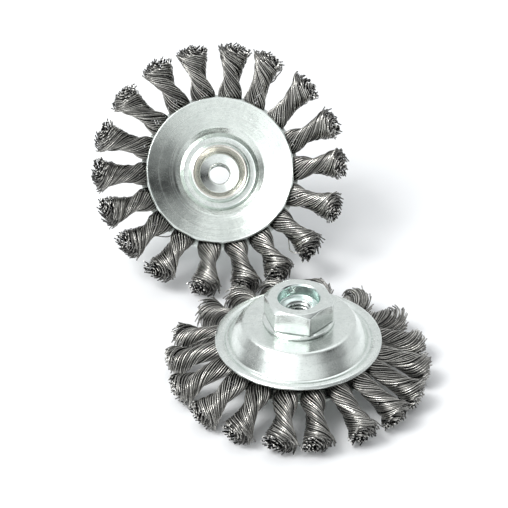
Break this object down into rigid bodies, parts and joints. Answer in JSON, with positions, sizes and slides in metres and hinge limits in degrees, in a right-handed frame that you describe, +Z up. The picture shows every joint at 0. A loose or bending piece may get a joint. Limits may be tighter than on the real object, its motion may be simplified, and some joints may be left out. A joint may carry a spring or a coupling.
{
  "type": "pair of twist knot bevel wire wheel brushes",
  "caption": "Conical twisted-knot wire wheel brushes with domed zinc plated plates and a threaded hex hub, for cleaning weld seams and rust with an angle grinder.",
  "frame": {"origin": "on the table plane, under the middle of the pair's bounding box", "axes": "+Z up from the table; +Y away from the viewer, from the front brush to the rear one; +X to the viewer's right"},
  "size_m": [0.131, 0.1688, 0.0788],
  "materials": {
    "hub_zinc": "bright zinc plated, fine turning marks",
    "outer_plate_zinc": "bright zinc plated pressing, fine grain",
    "inner_plate_zinc": "bright zinc plated pressing, fine grain",
    "hidden_steel": "plain mild steel",
    "steel_wire": "twisted bright steel wire, dark between strands"
  },
  "bodies": {
    "front_brush": {"front_hub_nut": "hub_zinc", "front_outer_plate": "outer_plate_zinc", "front_spacer_ring": "hidden_steel", "front_holder_disc": "hidden_steel", "front_inner_plate": "inner_plate_zinc", "front_knot_01": "steel_wire", "front_knot_02": "steel_wire", "front_knot_03": "steel_wire", "front_knot_04": "steel_wire", "front_knot_05": "steel_wire", "front_knot_06": "steel_wire", "front_knot_07": "steel_wire", "front_knot_08": "steel_wire", "front_knot_09": "steel_wire", "front_knot_10": "steel_wire", "front_knot_11": "steel_wire", "front_knot_12": "steel_wire", "front_knot_13": "steel_wire", "front_knot_14": "steel_wire", "front_knot_15": "steel_wire", "front_knot_16": "steel_wire", "front_knot_17": "steel_wire", "front_knot_18": "steel_wire"},
    "rear_brush": {"rear_hub_nut": "hub_zinc", "rear_outer_plate": "outer_plate_zinc", "rear_spacer_ring": "hidden_steel", "rear_holder_disc": "hidden_steel", "rear_inner_plate": "inner_plate_zinc", "rear_knot_01": "steel_wire", "rear_knot_02": "steel_wire", "rear_knot_03": "steel_wire", "rear_knot_04": "steel_wire", "rear_knot_05": "steel_wire", "rear_knot_06": "steel_wire", "rear_knot_07": "steel_wire", "rear_knot_08": "steel_wire", "rear_knot_09": "steel_wire", "rear_knot_10": "steel_wire", "rear_knot_11": "steel_wire", "rear_knot_12": "steel_wire", "rear_knot_13": "steel_wire", "rear_knot_14": "steel_wire", "rear_knot_15": "steel_wire", "rear_knot_16": "steel_wire", "rear_knot_17": "steel_wire", "rear_knot_18": "steel_wire"}
  },
  "joints": [
    {"name": "rear_brush_lift", "type": "slide", "parent": "front_brush", "child": "rear_brush", "axis": [0, 0, 1], "range_m": [0, 0.12]}
  ]
}
